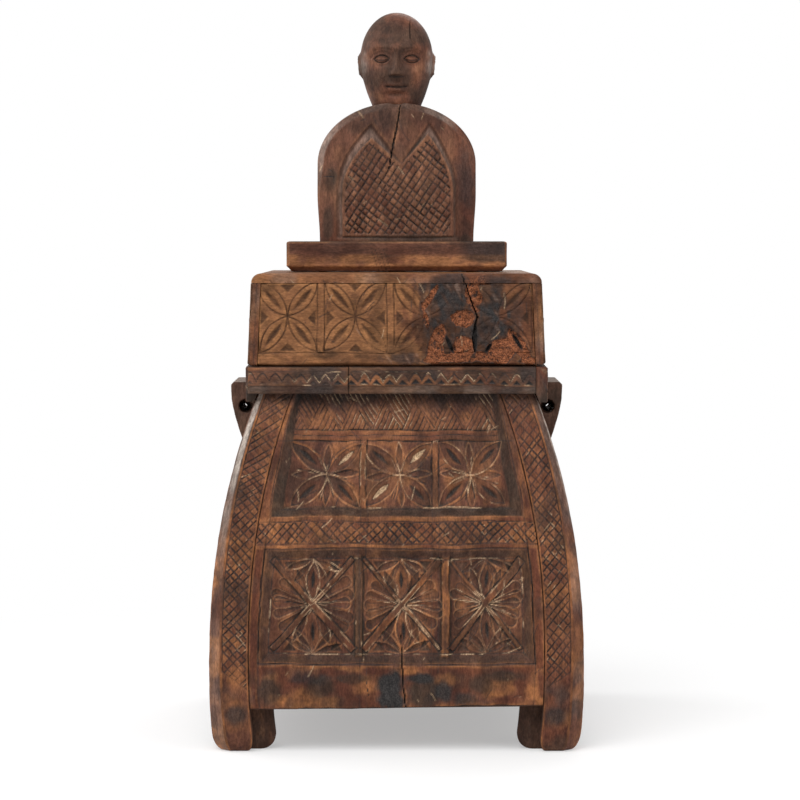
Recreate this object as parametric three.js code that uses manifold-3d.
// A carved wooden storage box with a lift-off lid that carries a bust.
// Units are millimetres. +Z is up, the front looks along -Y, and the origin lies on the floor
// under the middle of the box. The body is four corner posts with carved wall boards in their
// rebates, a floor on battens, and a collar of strips round the neck. The lid is a shallow box
// of boards that lies on the collar, with a plinth and a bust on top.

import * as THREE from 'three';
import { mergeVertices } from 'three/addons/utils/BufferGeometryUtils.js';
import Module from 'manifold-3d';

const wasm = await Module();
wasm.setup();

// Fits
const clearance = 0.3;
const lidPlay = 1.3;

// Outline of the body, the same on its four sides
const bodyHeight = 307;
const collarHeight = 21.7;
const neckHalf = 111.8;
const bellyHeight = 58;
const bellyHalf = 150;
const footHalf = 146;
const flarePower = 2.3;
const flareSteps = 15;
const leastStep = 1;

// Corner posts: the face seen from the front, the whole width behind the boards, the outer bevel
const postFaceTop = 28;
const postFaceFoot = 33;
const postWidthTop = 46;
const postWidthFoot = 51;
const postBevelTop = 5;
const postBevelFoot = 11;
const shoulderWidth = 8;
const footRounding = 14;
const footSteps = 3;
const soleShare = 0.58;

// Wall boards and the two sunken fields in each
const wallThickness = 16;
const apronHeight = 35;
const fieldDepth = 5;
const fieldSlope = 8;
const upperFieldBottom = 188;
const upperMarginTop = 6;
const upperMarginBottom = 17;
const upperBeadWidth = 2.5;
const lowerFieldBottom = 71;
const lowerFieldTop = 163;
const lowerMargin = 16.5;
const lowerBeadWidth = 8;
const barPlaces = [-29.8, 39.2];
const barWidth = 5;
const barHeight = 2.5;
const cutterLift = 3;

// Pegs of split wood, six-sided
const pegSides = 6;
const pegRadius = 2.6;
const pegBite = 8;
const pegProud = 1;
const wallPegHeight = 160;

// Floor
const battenHeight = 12;
const battenWidth = 14;
const battenSetUp = 2;
const plankThickness = 10;
const plankSplit = 6;

// Collar of strips, each lapping the end of the next
const collarThickness = 9.6;
const collarSideDrop = 6.8;
const collarLap = 7.7;
const collarJoint = -38.6;
const collarFillet = 7;
const collarFilletInset = 1;
const collarEdge = 1;
const collarPegDrop = 11;
const collarPegLeft = -57;
const collarPegRight = 36;
const collarPegBite = 5;

// Lugs on the two sides, bored from front to back; the drops count from the lug's top
const lugLength = 82;
const lugDrop = 15.3;
const lugHeight = 50.2;
const lugHorn = 12.7;
const lugBoreRadius = 5.7;
const lugWeb = 2.1;
const lugBoreDrop = 20.9;
const lugBoreSides = 12;
const tenonHeight = 10;
const tenonDrop = 37.7;
const tenonLength = 32;
const tenonPast = 10;
const keyLength = 46;

// Lid
const lidHeight = 74.8;
const lidRimHalf = 119.9;
const lidTopHalf = 116.6;
const lidWall = 8;
const lidTopThickness = 8;
const lidSideRounding = 8;
const lidFrontRounding = 2.5;
const lidRoundSteps = 3;
const lidRimEdge = 1.5;
const lidPegRadius = 2;
const lidPegDepth = 14;
const lidSidePegDrop = 38;
const lipDepth = 9;
const lipRise = 11;
const lipWidth = 10.5;
const lipHalfLength = 60;

// Plinth
const plinthHalf = 92;
const plinthDepth = 60;
const plinthHeight = 25;
const plinthUndercut = 4;
const plinthEdge = 1.5;
const dowelRadius = 4;
const dowelPlace = 62;
const dowelRise = 14;

// Bust: an arched torso with bevelled edges, a head, and a tenon down through plinth and lid
const torsoHalf = 66;
const torsoSpring = 64;
const torsoRise = 51;
const torsoThickness = 50;
const torsoBevel = 6;
const archSteps = 16;
const headHeight = 191;
const headWidest = 153;
const headHalf = 30.3;
const headDepth = 27;
const throatHeight = 110;
const throatHalf = 19;
const throatDepth = 17;
const headSides = 16;
const headSteps = 5;
const noseTop = 157;
const noseBase = 139;
const noseHalf = 4.6;
const noseReach = 6;
const earMiddle = 148;
const earHeight = 20;
const earWidth = 10;
const earOut = 2.2;
const earSides = 8;
const bustTenonWidth = 30;
const bustTenonDepth = 20;
const bustTenonPast = 14;
const wedgeRadius = 3;
const wedgeLength = 52;

// Heights and places that follow from the values above
const neckHeight = bodyHeight - collarHeight;
const collarPegHeight = bodyHeight - collarPegDrop;
const lugTop = bodyHeight - lugDrop;
const lugBottom = lugTop - lugHeight;
const lugBoreHeight = lugTop - lugBoreDrop;
const tenonMiddle = lugTop - tenonDrop;
const lugBoreOut = halfWidth(lugBoreHeight) + clearance + lugWeb + lugBoreRadius;
const lugReach = lugBoreOut + lugHorn;
const lidRim = bodyHeight + clearance;
const lidTop = lidRim + lidHeight;
const lidTopUnder = lidTop - lidTopThickness;
const plinthBase = lidTop + clearance;
const plinthTop = plinthBase + plinthHeight;
const bustBase = plinthTop + clearance;
const collarInner = neckHalf + clearance;
const collarOuter = collarInner + collarThickness;
const battenBottom = apronHeight + battenSetUp;
const plankBottom = battenBottom + battenHeight + clearance;
const quarterTurn = Math.PI / 2;

// Shared shape helpers

function vec(x, y, z) {
  return new THREE.Vector3(x, y, z);
}

const mirrorX = (p) => vec(-p.x, p.y, p.z);
const mirrorY = (p) => vec(p.x, -p.y, p.z);
const mirrorDiagonal = (p) => vec(p.y, p.x, p.z);
const flatZ = (p) => new THREE.Vector2(p.x, p.y);
const flatY = (p) => new THREE.Vector2(p.x, p.z);
const flatX = (p) => new THREE.Vector2(p.y, p.z);

function signedVolume(positions, faces) {
  const [a, b, c] = [vec(0, 0, 0), vec(0, 0, 0), vec(0, 0, 0)];
  let volume = 0;
  for (let i = 0; i < faces.length; i += 3) {
    a.fromArray(positions, 3 * faces[i]);
    b.fromArray(positions, 3 * faces[i + 1]);
    c.fromArray(positions, 3 * faces[i + 2]);
    volume += a.dot(b.cross(c)) / 6;
  }
  return volume;
}

// A closed body through rings of points, with flat end faces
function skin(rings, flatten) {
  const turned = THREE.ShapeUtils.isClockWise(rings[0].map(flatten));
  const loops = rings.map((ring) => (turned ? [...ring].reverse() : ring));
  const size = loops[0].length;
  const positions = loops.flat().flatMap((p) => [p.x, p.y, p.z]);
  const faces = [];
  for (let r = 0; r + 1 < loops.length; r++) {
    for (let i = 0; i < size; i++) {
      const a = r * size + i;
      const b = r * size + ((i + 1) % size);
      faces.push(a, b, b + size, a, b + size, a + size);
    }
  }
  const last = (loops.length - 1) * size;
  for (const [a, b, c] of THREE.ShapeUtils.triangulateShape(loops[0].map(flatten), [])) {
    faces.push(a, c, b);
  }
  for (const [a, b, c] of THREE.ShapeUtils.triangulateShape(loops.at(-1).map(flatten), [])) {
    faces.push(last + a, last + b, last + c);
  }
  if (signedVolume(positions, faces) < 0) {
    faces.reverse();
  }
  const geometry = new THREE.BufferGeometry();
  geometry.setAttribute('position', new THREE.Float32BufferAttribute(positions, 3));
  geometry.setIndex(faces);
  return geometry;
}

// A straight bar of one outline, between two places along an axis
function bar(outline, from, to, point, flatten) {
  return skin([from, to].map((s) => outline.map(([u, v]) => point(s, u, v))), flatten);
}

function block(x0, x1, y0, y1, z0, z1) {
  const outline = [[x0, y0], [x1, y0], [x1, y1], [x0, y1]];
  return bar(outline, z0, z1, (z, x, y) => vec(x, y, z), flatZ);
}

function rod(from, to, radius, sides) {
  const way = to.clone().sub(from);
  const geometry = new THREE.CylinderGeometry(radius, radius, way.length(), sides);
  geometry.deleteAttribute('normal');
  geometry.deleteAttribute('uv');
  const turn = new THREE.Quaternion().setFromUnitVectors(vec(0, 1, 0), way.normalize());
  geometry.applyQuaternion(turn);
  const middle = from.clone().add(to).multiplyScalar(0.5);
  geometry.translate(middle.x, middle.y, middle.z);
  return mergeVertices(geometry);
}

// The hole that a rod fits: wider by the clearance all round and at both ends
function rodHole(from, to, radius, sides) {
  const slack = to.clone().sub(from).setLength(clearance);
  return rod(from.clone().sub(slack), to.clone().add(slack), radius + clearance, sides);
}

function solidOf(geometry) {
  const merged = mergeVertices(geometry);
  const vertProperties = Float32Array.from(merged.attributes.position.array);
  const triVerts = Uint32Array.from(merged.index.array);
  return new wasm.Manifold(new wasm.Mesh({ numProp: 3, vertProperties, triVerts }));
}

function geometryOf(solid) {
  const mesh = solid.getMesh();
  const geometry = new THREE.BufferGeometry();
  const positions = Float32Array.from(mesh.vertProperties);
  geometry.setAttribute('position', new THREE.BufferAttribute(positions, 3));
  geometry.setIndex(new THREE.BufferAttribute(Uint32Array.from(mesh.triVerts), 1));
  return geometry;
}

function cut(body, tools) {
  return geometryOf(tools.reduce((left, tool) => left.subtract(solidOf(tool)), solidOf(body)));
}

function join(body, extras) {
  return geometryOf(extras.reduce((sum, extra) => sum.add(solidOf(extra)), solidOf(body)));
}

const root = new THREE.Group();
const pegColour = 0x8a6238;

function addPiece(name, geometry, colour, turn = 0, roughness = 0.7) {
  const material = new THREE.MeshStandardMaterial({
    color: colour,
    roughness,
    metalness: 0,
    flatShading: true,
  });
  const mesh = new THREE.Mesh(geometry, material);
  mesh.name = name;
  mesh.rotation.z = turn;
  root.add(mesh);
}

const pegHole = ([from, to]) => rodHole(from, to, pegRadius, pegSides);

function addPeg(name, [from, to], turn, radius = pegRadius) {
  addPiece(name, rod(from, to, radius, pegSides), pegColour, turn);
}

// Outline of the body

function halfWidth(z) {
  if (z >= neckHeight) {
    return neckHalf;
  }
  if (z >= bellyHeight) {
    const rise = (z - bellyHeight) / (neckHeight - bellyHeight);
    return bellyHalf - (bellyHalf - neckHalf) * rise ** flarePower;
  }
  const drop = (bellyHeight - z) / bellyHeight;
  return bellyHalf - (bellyHalf - footHalf) * drop ** flarePower;
}

// Heights where curved pieces have a ring of points, shared so that neighbours bend alike
function stations(from, to) {
  const between = [];
  for (let i = 1; i <= flareSteps; i++) {
    const z = (neckHeight * i) / flareSteps;
    if (z > from + leastStep && z < to - leastStep) {
      between.push(z);
    }
  }
  return [from, ...between, to];
}

function taper(top, foot, z) {
  return foot + ((top - foot) * z) / bodyHeight;
}

const postFace = (z) => taper(postFaceTop, postFaceFoot, z);
const postWidth = (z) => taper(postWidthTop, postWidthFoot, z);
const boardHalf = (z) => halfWidth(z) - postFace(z) - clearance;
const wallInner = (z) => halfWidth(z) - wallThickness;

// Corner posts. The front left one is built, and the others are quarter turns of it.

// Distances in from the two outer faces, round one section of the post
function postOutline(z) {
  const bevel = taper(postBevelTop, postBevelFoot, z);
  const face = postFace(z);
  const width = postWidth(z);
  const rebate = wallThickness + clearance;
  const inner = rebate + shoulderWidth;
  const half = [[bevel, 0], [face, 0], [face, rebate], [width, rebate], [width, inner]];
  return [...half, ...half.map(([u, v]) => [v, u]).reverse()];
}

function postRing(z) {
  const half = halfWidth(z);
  return postOutline(z).map(([u, v]) => vec(u - half, v - half, z));
}

// The foot is rounded under: rings shrink towards the middle of the section
function footRings() {
  const rings = [];
  for (let i = 0; i < footSteps; i++) {
    const angle = (quarterTurn * i) / footSteps;
    const share = soleShare + (1 - soleShare) * Math.sin(angle);
    const ring = postRing(footRounding * (1 - Math.cos(angle)));
    const middle = vec(0, 0, ring[0].z);
    middle.x = ring.reduce((sum, p) => sum + p.x, 0) / ring.length;
    middle.y = ring.reduce((sum, p) => sum + p.y, 0) / ring.length;
    rings.push(ring.map((p) => middle.clone().lerp(p, share)));
  }
  return rings;
}

// Pegs through the post's shoulder into the edge of the board in front of it
function wallPegEnds(z) {
  const out = (postFace(z) + postWidth(z)) / 2;
  const inner = wallThickness + clearance + shoulderWidth + postWidth(z) - out + pegProud;
  const side = out - halfWidth(z);
  return [vec(side, wallThickness - pegBite - halfWidth(z), z), vec(side, inner - halfWidth(z), z)];
}

// One peg goes into the board on the post's right, the other into the board behind it
const postPegs = [
  wallPegEnds(wallPegHeight),
  wallPegEnds(wallPegHeight).map(mirrorDiagonal),
];

function postGeometry() {
  const rings = [...footRings(), ...stations(footRounding, bodyHeight).map(postRing)];
  return cut(skin(rings, flatZ), postPegs.map(pegHole));
}

const sideNames = ['front', 'right', 'back', 'left'];
const postNames = ['front_left', 'front_right', 'back_right', 'back_left'];
const postColours = [0x6a4029, 0x70442c, 0x643b26, 0x603824];
postNames.forEach((corner, i) => {
  addPiece(`post_${corner}`, postGeometry(), postColours[i], i * quarterTurn);
  addPeg(`peg_${corner}_to_${sideNames[i]}`, postPegs[0], i * quarterTurn);
  addPeg(`peg_${corner}_to_${sideNames[(i + 3) % 4]}`, postPegs[1], i * quarterTurn);
});

// Wall boards, built facing the front and turned to their side

// Cuts a sunken field whose sides slope from the mouth, at the face, down to the floor
function fieldCutter(bottom, top, squareTop, floorHalf, mouthHalf) {
  const past = (fieldSlope * cutterLift) / fieldDepth;
  const ring = (z, sunk) => {
    const face = halfWidth(z);
    const floor = floorHalf(z);
    const mouth = floor + (mouthHalf(z) - floor) * (1 + cutterLift / fieldDepth);
    const low = sunk ? fieldDepth - face : -face - cutterLift;
    const high = -face - 2 * cutterLift;
    const side = [[mouth, high], [mouth, -face - cutterLift], [floor, low]];
    const mirrored = side.map(([x, y]) => [-x, y]).reverse();
    return [...side, ...mirrored].map(([x, y]) => vec(x, y, z));
  };
  const floorTop = squareTop ? top : top - fieldSlope;
  const rings = stations(bottom + fieldSlope, floorTop).map((z) => ring(z, true));
  rings.unshift(ring(bottom - past, false));
  if (!squareTop) {
    rings.push(ring(top + past, false));
  }
  return skin(rings, flatZ);
}

function upperField() {
  const top = neckHeight - clearance;
  const share = (z) => (z - upperFieldBottom) / (top - upperFieldBottom);
  const margin = (z) => upperMarginBottom + (upperMarginTop - upperMarginBottom) * share(z);
  const floor = (z) => boardHalf(z) - margin(z);
  return fieldCutter(upperFieldBottom, top, true, floor, (z) => boardHalf(z) - upperBeadWidth);
}

function lowerField() {
  const floor = (z) => boardHalf(z) - lowerMargin;
  const mouth = (z) => boardHalf(z) - lowerBeadWidth;
  return fieldCutter(lowerFieldBottom, lowerFieldTop, false, floor, mouth);
}

// Upright bars between the cells of the lower field, let into its floor and its slopes
function fieldBar(place) {
  const sink = fieldDepth + clearance;
  const heights = stations(lowerFieldBottom + fieldSlope / 2, lowerFieldTop - fieldSlope / 2);
  const rings = heights.map((z) => {
    const floor = sink - halfWidth(z);
    const top = fieldDepth - barHeight - halfWidth(z);
    const [left, right] = [place - barWidth / 2, place + barWidth / 2];
    return [vec(left, floor, z), vec(right, floor, z), vec(right, top, z), vec(left, top, z)];
  });
  return skin(rings, flatZ);
}

function boardRing(z) {
  const [half, out, inner] = [boardHalf(z), -halfWidth(z), -wallInner(z)];
  return [vec(-half, out, z), vec(half, out, z), vec(half, inner, z), vec(-half, inner, z)];
}

// Strips of the collar: the wall that each lies on, its two ends, and the place of its peg
const collarStart = -neckHalf - collarLap;
const collarStrips = [
  { name: 'front_left', wall: 0, from: collarStart, to: collarJoint, peg: collarPegLeft },
  { name: 'front_right', wall: 0, from: collarJoint + clearance, to: neckHalf, peg: collarPegRight },
  { name: 'right', wall: 1, from: collarStart, to: neckHalf, peg: 0 },
  { name: 'back', wall: 2, from: collarStart, to: neckHalf, peg: 0 },
  { name: 'left', wall: 3, from: collarStart, to: neckHalf, peg: 0 },
];

// A peg through the wall into the collar strip round it, driven from inside the mouth
function collarPegEnds(place) {
  const bite = -collarInner - collarPegBite;
  const inside = -wallInner(collarPegHeight);
  return [vec(place, bite, collarPegHeight), vec(place, inside, collarPegHeight)];
}

// The batten's peg, driven from inside into the foot of a side wall
function battenPegEnds() {
  const z = battenBottom + battenHeight / 2;
  const wall = wallInner(z);
  return [vec(0, -wall - pegBite, z), vec(0, battenWidth + pegProud - wall, z)];
}

// The slot that a lug's tenon passes through
function lugMortise() {
  const [half, rise] = [tenonLength / 2 + clearance, tenonHeight / 2 + clearance];
  const outer = -lugReach;
  const inner = -wallInner(tenonMiddle) + tenonPast;
  return block(-half, half, outer, inner, tenonMiddle - rise, tenonMiddle + rise);
}

function boardGeometry(wall) {
  const blank = skin(stations(apronHeight, bodyHeight).map(boardRing), flatZ);
  const sunk = cut(blank, [upperField(), lowerField()]);
  const barred = join(sunk, barPlaces.map(fieldBar));
  const strips = collarStrips.filter((strip) => strip.wall === wall);
  const pegs = [
    wallPegEnds(wallPegHeight),
    wallPegEnds(wallPegHeight).map(mirrorX),
    ...strips.map((strip) => collarPegEnds(strip.peg)),
  ];
  const holes = pegs.map(pegHole);
  const isSide = wall % 2 === 1;
  return cut(barred, isSide ? [...holes, pegHole(battenPegEnds()), lugMortise()] : holes);
}

const boardColours = [0x6b3f2a, 0x683c28, 0x5f3725, 0x6d422c];
sideNames.forEach((side, i) => {
  addPiece(`${side}_board`, boardGeometry(i), boardColours[i], i * quarterTurn);
});

// Floor: two planks on a batten along each side wall

function battenGeometry() {
  const end = halfWidth(battenBottom) - postWidth(battenBottom) - 2 * clearance;
  const rings = [battenBottom, battenBottom + battenHeight].map((z) => {
    const wall = clearance - wallInner(z);
    const inner = battenWidth - wallInner(z);
    return [vec(-end, wall, z), vec(end, wall, z), vec(end, inner, z), vec(-end, inner, z)];
  });
  return cut(skin(rings, flatZ), [pegHole(battenPegEnds())]);
}

for (const [side, turn] of [['right', quarterTurn], ['left', -quarterTurn]]) {
  addPiece(`floor_batten_${side}`, battenGeometry(), 0x5c3a26, turn);
  addPeg(`batten_peg_${side}`, battenPegEnds(), turn);
}

// A plank runs from wall to wall, notched round the posts. Its long edge lies at split.
function plankRing(z, split) {
  const half = halfWidth(z);
  const wall = wallInner(z) - clearance;
  const slack = 2 * clearance;
  const width = postWidth(z) + slack;
  const inner = wallThickness + clearance + shoulderWidth + slack;
  const corner = [
    [half - width, wall],
    [half - width, half - inner],
    [half - inner, half - width],
    [wall, half - width],
  ];
  const right = [...corner, [wall, split]];
  const left = right.map(([x, y]) => [-x, y]).reverse();
  return [...right, ...left].map(([x, y]) => vec(x, y, z));
}

for (const [name, turn, edge] of [
  ['floor_plank_back', 0, plankSplit + clearance],
  ['floor_plank_front', Math.PI, clearance - plankSplit],
]) {
  const rings = [plankBottom, plankBottom + plankThickness].map((z) => plankRing(z, edge));
  addPiece(name, skin(rings, flatZ), 0x5a3a27, turn);
}

// Collar of strips round the neck

// The front and back strips end at the neck, and the side strips hang lower
function collarOutline(isSide) {
  const [top, bottom] = [bodyHeight, isSide ? neckHeight - collarSideDrop : neckHeight];
  const foot = halfWidth(bottom) + clearance;
  const edge = [
    [collarOuter, top - collarEdge],
    [collarOuter - collarEdge, top],
    [collarInner, top],
  ];
  if (isSide) {
    return [[foot, bottom], [collarOuter, bottom], ...edge, [collarInner, neckHeight]];
  }
  const sunk = collarOuter - collarFilletInset;
  return [
    [foot, bottom],
    [sunk - 2 * collarFilletInset, bottom],
    [sunk, bottom + 2 * collarFilletInset],
    [sunk, bottom + collarFillet - collarFilletInset],
    [collarOuter, bottom + collarFillet],
    ...edge,
  ];
}

const collarColours = [0x744a31, 0x704329, 0x7a5038, 0x68402b, 0x7a5038];
collarStrips.forEach(({ name, wall, from, to, peg }, i) => {
  const outline = collarOutline(wall % 2 === 1);
  const strip = bar(outline, from, to, (s, r, z) => vec(s, -r, z), flatX);
  const ends = collarPegEnds(peg);
  addPiece(`collar_${name}`, cut(strip, [pegHole(ends)]), collarColours[i], wall * quarterTurn);
  addPeg(`collar_peg_${name}`, ends, wall * quarterTurn);
});

// Lugs on the side walls, built facing the front like the walls

function lugOutline() {
  const strip = neckHeight - collarSideDrop - clearance;
  const shelf = collarOuter + clearance;
  const tip = halfWidth(lugBottom) + clearance;
  const wall = stations(lugBottom, strip).map((z) => [halfWidth(z) + clearance, z]);
  const fall = (share) => lugTop - (lugTop - lugBottom) * share;
  const bulge = (share) => lugReach - (lugReach - tip) * share;
  return [
    ...wall,
    [shelf, strip],
    [shelf, lugTop],
    [bulge(0.25), lugTop],
    [lugReach, fall(0.06)],
    [bulge(0.04), fall(0.3)],
    [bulge(0.25), fall(0.55)],
    [bulge(0.6), fall(0.8)],
    [bulge(0.9), lugBottom],
  ];
}

// The key passes through the tenon just inside the wall and draws the lug home
function keyEnds() {
  const height = tenonMiddle;
  const wall = wallInner(height + pegRadius) - clearance;
  const away = pegRadius - wall;
  return [vec(-keyLength / 2, away, height), vec(keyLength / 2, away, height)];
}

function lugGeometry() {
  const half = lugLength / 2;
  const ear = bar(lugOutline(), -half, half, (s, r, z) => vec(s, -r, z), flatX);
  const [low, high] = [tenonMiddle - tenonHeight / 2, tenonMiddle + tenonHeight / 2];
  const root = -halfWidth(low) - 2 * clearance;
  const end = -wallInner(tenonMiddle) + tenonPast;
  const tenon = block(-tenonLength / 2, tenonLength / 2, root, end, low, high);
  const bore = rod(
    vec(-half - clearance, -lugBoreOut, lugBoreHeight),
    vec(half + clearance, -lugBoreOut, lugBoreHeight),
    lugBoreRadius,
    lugBoreSides,
  );
  return cut(join(ear, [tenon]), [bore, pegHole(keyEnds())]);
}

for (const [side, turn] of [['right', quarterTurn], ['left', -quarterTurn]]) {
  addPiece(`lug_${side}`, lugGeometry(), 0x5e4535, turn);
  addPeg(`lug_key_${side}`, keyEnds(), turn);
}

// Lid: four walls, a top board and four lip cleats that drop into the mouth

// Half the lid's width at a height: it leans in, and both its edges are eased
function lidHalf(z, rounding) {
  const lean = lidRimHalf + ((lidTopHalf - lidRimHalf) * (z - lidRim)) / lidHeight;
  const low = Math.max(0, lidRimEdge - (z - lidRim));
  const high = Math.max(0, z - (lidTop - rounding));
  return lean - low - rounding + Math.sqrt(rounding ** 2 - Math.min(high, rounding) ** 2);
}

const lidFront = (z) => lidHalf(z, lidFrontRounding);
const lidSide = (z) => lidHalf(z, lidSideRounding);
const lidInner = (z) => lidRimHalf - lidWall - ((lidRimHalf - lidTopHalf) * (z - lidRim)) / lidHeight;

function lidHeights(from, to) {
  const list = [from, lidRim + lidRimEdge];
  for (const rounding of [lidSideRounding, lidFrontRounding]) {
    for (let i = 0; i < lidRoundSteps; i++) {
      list.push(lidTop - rounding + rounding * Math.sin((quarterTurn * i) / lidRoundSteps));
    }
  }
  const between = list.filter((z) => z > from && z < to).sort((a, b) => a - b);
  const spaced = between.filter((z, i) => i === 0 || z - between[i - 1] > clearance);
  return [from, ...spaced.filter((z) => to - z > clearance), to];
}

// A peg down through the top board into the front wall
function lidTopPegEnds() {
  const out = lidInner(lidTopUnder) + lidWall / 2;
  return [vec(0, -out, lidTopUnder - lidPegDepth), vec(0, -out, lidTop)];
}

// A peg through the right wall into the end of the front wall
function lidSidePegEnds() {
  const z = lidTop - lidSidePegDrop;
  const along = lidInner(z) + lidWall / 2;
  const outer = lidInner(z) + lidWall;
  return [vec(outer - lidWall - lidPegDepth, -along, z), vec(outer, -along, z)];
}

// A peg through a lip cleat into the front wall
function lipPegEnds() {
  const z = lidRim + clearance + lipRise / 2;
  const inside = neckHalf - wallThickness - lidPlay - lipWidth - pegProud;
  return [vec(0, -lidInner(z) - lidWall / 2, z), vec(0, -inside, z)];
}

const lidPegHole = ([from, to]) => rodHole(from, to, lidPegRadius, pegSides);

// A front or back wall stands between the side walls
function lidEndWall() {
  const rings = lidHeights(lidRim, lidTopUnder - clearance).map((z) => {
    const [half, out, inner] = [lidInner(z) - clearance, -lidFront(z), -lidInner(z)];
    return [vec(-half, out, z), vec(half, out, z), vec(half, inner, z), vec(-half, inner, z)];
  });
  const corner = lidSidePegEnds();
  const pegs = [corner, corner.map(mirrorX), lidTopPegEnds(), lipPegEnds()];
  return cut(skin(rings, flatZ), pegs.map(lidPegHole));
}

// The right wall, which covers the ends of the front and back walls
function lidSideWall() {
  const rings = lidHeights(lidRim, lidTopUnder - clearance).map((z) => {
    const [out, inner, end] = [lidSide(z), lidInner(z), lidFront(z)];
    return [vec(inner, -end, z), vec(out, -end, z), vec(out, end, z), vec(inner, end, z)];
  });
  const corner = lidSidePegEnds();
  const lip = lipPegEnds().map((p) => vec(-p.y, p.x, p.z));
  return cut(skin(rings, flatZ), [corner, corner.map(mirrorY), lip].map(lidPegHole));
}

const tenonOutline = (slack) => {
  const [half, deep] = [bustTenonWidth / 2 + slack, bustTenonDepth / 2 + slack];
  return [-half, half, -deep, deep];
};

const dowels = [-dowelPlace, dowelPlace].map((place) => [
  vec(place, 0, lidTopUnder),
  vec(place, 0, plinthBase + dowelRise),
]);

const dowelHole = ([from, to]) => rodHole(from, to, dowelRadius, pegSides);

function lidTopBoard() {
  const rings = lidHeights(lidTopUnder, lidTop).map((z) => {
    const [half, end] = [lidSide(z), lidFront(z)];
    return [vec(-half, -end, z), vec(half, -end, z), vec(half, end, z), vec(-half, end, z)];
  });
  const pegs = [lidTopPegEnds(), lidTopPegEnds().map(mirrorY)];
  const mortise = block(...tenonOutline(clearance), lidTopUnder - clearance, plinthTop);
  return cut(skin(rings, flatZ), [...pegs.map(lidPegHole), mortise, ...dowels.map(dowelHole)]);
}

// A rebated cleat: its upper part meets the lid's wall and its lower part drops into the mouth
function lipGeometry() {
  const mouth = neckHalf - wallThickness - lidPlay;
  const [foot, seat] = [bodyHeight - lipDepth, lidRim + clearance];
  const top = seat + lipRise;
  const outline = [
    [mouth - lipWidth, foot],
    [mouth, foot],
    [mouth, seat],
    [lidInner(seat) - clearance, seat],
    [lidInner(top) - clearance, top],
    [mouth - lipWidth, top],
  ];
  const cleat = bar(outline, -lipHalfLength, lipHalfLength, (s, r, z) => vec(s, -r, z), flatX);
  return cut(cleat, [lidPegHole(lipPegEnds())]);
}

addPiece('lid_front_board', lidEndWall(), 0x7c4f33);
addPiece('lid_back_board', lidEndWall(), 0x6b442d, Math.PI);
addPiece('lid_right_board', lidSideWall(), 0x74492f);
addPiece('lid_left_board', lidSideWall(), 0x74492f, Math.PI);
addPiece('lid_top_board', lidTopBoard(), 0x8a6446);
sideNames.forEach((side, i) => {
  addPiece(`lid_lip_${side}`, lipGeometry(), 0x5c3a26, i * quarterTurn);
  addPeg(`lip_peg_${side}`, lipPegEnds(), i * quarterTurn, lidPegRadius);
});
const cornerPeg = lidSidePegEnds();
addPeg('lid_peg_front_right', cornerPeg, 0, lidPegRadius);
addPeg('lid_peg_back_right', cornerPeg.map(mirrorY), 0, lidPegRadius);
addPeg('lid_peg_back_left', cornerPeg, Math.PI, lidPegRadius);
addPeg('lid_peg_front_left', cornerPeg.map(mirrorY), Math.PI, lidPegRadius);
addPeg('lid_peg_top_front', lidTopPegEnds(), 0, lidPegRadius);
addPeg('lid_peg_top_back', lidTopPegEnds(), Math.PI, lidPegRadius);

// Plinth: a slab with an undercut foot, dowelled to the lid

function plinthGeometry() {
  const slices = [
    [plinthBase, plinthUndercut],
    [plinthBase + plinthUndercut, 0],
    [plinthTop - plinthEdge, 0],
    [plinthTop, plinthEdge],
  ];
  const rings = slices.map(([z, inset]) => {
    const [half, deep] = [plinthHalf - inset, plinthDepth / 2 - inset];
    return [vec(-half, -deep, z), vec(half, -deep, z), vec(half, deep, z), vec(-half, deep, z)];
  });
  const mortise = block(...tenonOutline(clearance), plinthBase - clearance, bustBase);
  return cut(skin(rings, flatZ), [mortise, ...dowels.map(dowelHole)]);
}

addPiece('plinth', plinthGeometry(), 0x74492f);
addPeg('plinth_dowel_left', dowels[0], 0, dowelRadius);
addPeg('plinth_dowel_right', dowels[1], 0, dowelRadius);

// Bust, carved from one block of upright grain. Its heights count from its base.

function torsoRing(y, inset) {
  const half = torsoHalf - inset;
  const rise = torsoRise - inset;
  const ring = [vec(-half, y, bustBase), vec(half, y, bustBase)];
  for (let i = 0; i <= archSteps; i++) {
    const angle = (Math.PI * i) / archSteps;
    const [x, up] = [half * Math.cos(angle), rise * Math.sin(angle)];
    ring.push(vec(x, y, bustBase + torsoSpring + up));
  }
  return ring;
}

function torsoGeometry() {
  const front = -torsoThickness / 2;
  const slices = [
    [front, torsoBevel],
    [front + torsoBevel, 0],
    [-front - torsoBevel, 0],
    [-front, torsoBevel],
  ];
  return skin(slices.map(([y, inset]) => torsoRing(y, inset)), flatY);
}

function ovalRing(z, half, deep) {
  const ring = [];
  for (let i = 0; i < headSides; i++) {
    const angle = (2 * Math.PI * i) / headSides;
    ring.push(vec(half * Math.cos(angle), deep * Math.sin(angle), bustBase + z));
  }
  return ring;
}

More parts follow.
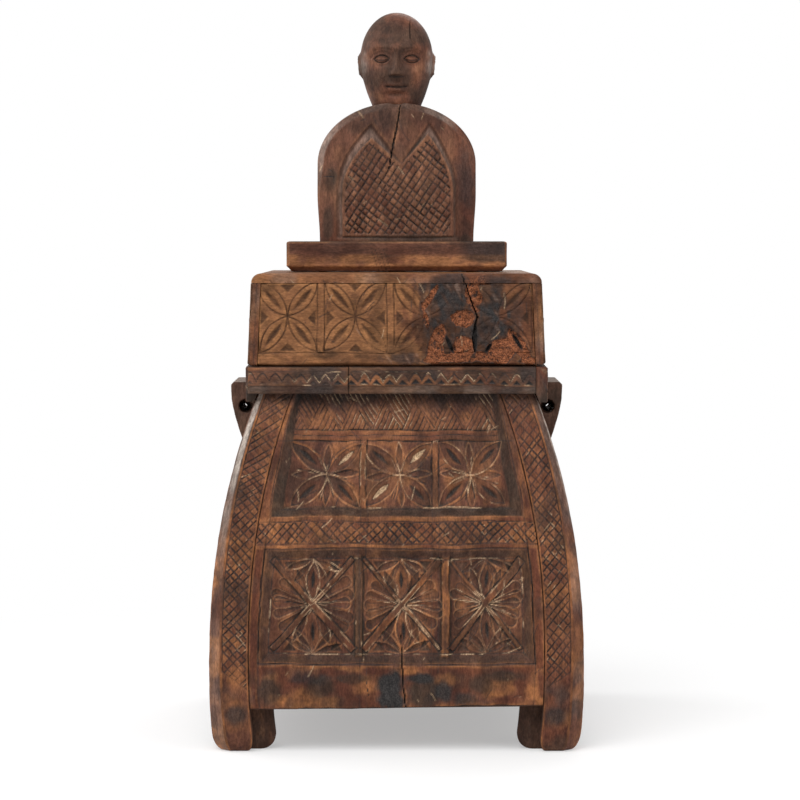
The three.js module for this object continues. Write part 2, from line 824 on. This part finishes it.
// The head swells from the throat to its widest and closes as half an egg
function headGeometry() {
  const rings = [];
  for (let i = 0; i < headSteps; i++) {
    const share = Math.sin((quarterTurn * i) / headSteps);
    const half = throatHalf + (headHalf - throatHalf) * share;
    const deep = throatDepth + (headDepth - throatDepth) * share;
    rings.push(ovalRing(throatHeight + ((headWidest - throatHeight) * i) / headSteps, half, deep));
  }
  for (let i = 0; i < headSteps; i++) {
    const angle = (quarterTurn * i) / headSteps;
    const z = headWidest + (headHeight - headWidest) * Math.sin(angle);
    rings.push(ovalRing(z, headHalf * Math.cos(angle), headDepth * Math.cos(angle)));
  }
  const tip = Math.cos(quarterTurn * (1 - 1 / (4 * headSteps)));
  rings.push(ovalRing(headHeight, headHalf * tip, headDepth * tip));
  return skin(rings, flatZ);
}

// A plain wedge of a nose
function noseGeometry() {
  const ring = (z, half, reach) => [
    vec(-half, -headDepth / 2, bustBase + z),
    vec(half, -headDepth / 2, bustBase + z),
    vec(half / 2, -headDepth - reach, bustBase + z),
    vec(-half / 2, -headDepth - reach, bustBase + z),
  ];
  const rings = [
    ring(noseBase, noseHalf, noseReach),
    ring(noseTop, noseHalf / 2, 0),
  ];
  return skin(rings, flatZ);
}

function earGeometry(side) {
  const inner = headHalf / 2;
  const ear = rod(vec(side * inner, 0, 0), vec(side * (headHalf + earOut), 0, 0), 1, earSides);
  ear.scale(1, earWidth / 2, earHeight / 2);
  return ear.translate(0, 0, bustBase + earMiddle);
}

function wedgeEnds() {
  const z = lidTopUnder - clearance - wedgeRadius;
  return [vec(-wedgeLength / 2, 0, z), vec(wedgeLength / 2, 0, z)];
}

function bustGeometry() {
  const foot = lidTopUnder - bustTenonPast;
  const tenon = block(...tenonOutline(0), foot, bustBase + clearance);
  const extras = [headGeometry(), noseGeometry(), earGeometry(-1), earGeometry(1), tenon];
  const [from, to] = wedgeEnds();
  return cut(join(torsoGeometry(), extras), [rodHole(from, to, wedgeRadius, pegSides)]);
}

addPiece('bust', bustGeometry(), 0x7a4d34);
addPeg('bust_key', wedgeEnds(), 0, wedgeRadius);

export default root;
